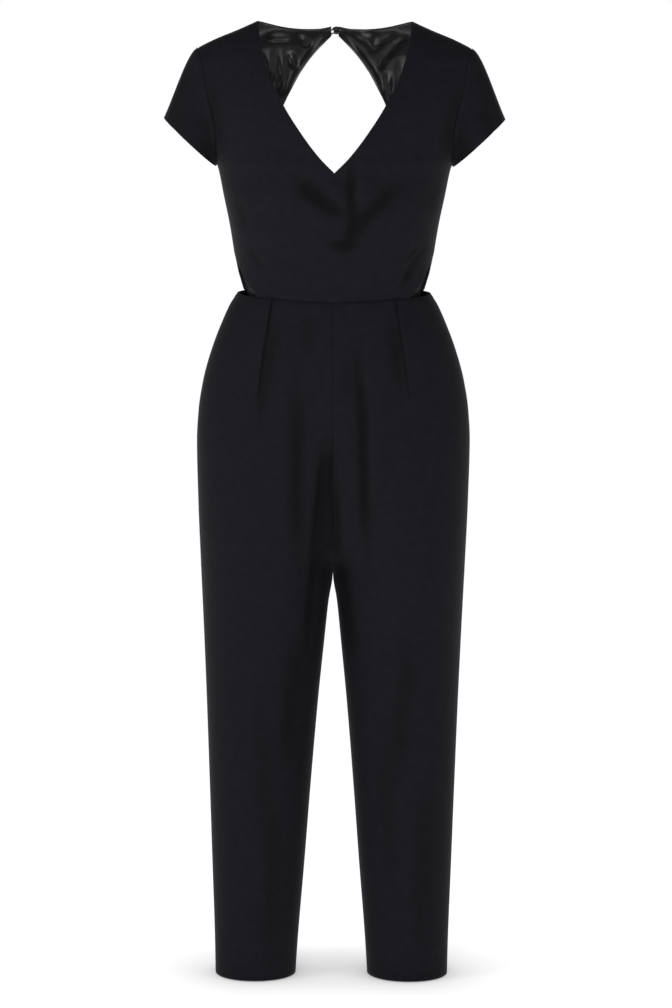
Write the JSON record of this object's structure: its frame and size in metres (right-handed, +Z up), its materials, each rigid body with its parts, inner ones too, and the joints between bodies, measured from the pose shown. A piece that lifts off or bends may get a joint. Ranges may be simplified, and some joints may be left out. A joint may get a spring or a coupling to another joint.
{
  "type": "jumpsuit",
  "caption": "Filled-out jumpsuit with V neck, cap sleeves, buttoned keyhole back, side waist cut-outs and pleated, tapered, cropped trousers.",
  "frame": {"origin": "midway between the two points where the shoulder seams meet the neck, in the plane of the side seams, where the wearer's shoulders hold the garment up", "axes": "+Z up the body, the front of the garment towards -Y, the wearer's left towards +X"},
  "size_m": [0.4892, 0.2448, 1.4005],
  "materials": {
    "crepe": "matt black crepe",
    "satin": "black satin with a soft sheen"
  },
  "bodies": {
    "root": {"bodice_front": "crepe", "bodice_back_left": "crepe", "bodice_back_right": "crepe", "back_lining_left": "satin", "back_lining_right": "satin", "sleeve_left": "crepe", "sleeve_right": "crepe", "trouser_front_left": "crepe", "trouser_front_right": "crepe", "trouser_back_left": "crepe", "trouser_back_right": "crepe", "nape_button": "satin", "nape_loop": "satin"}
  },
  "joints": []
}
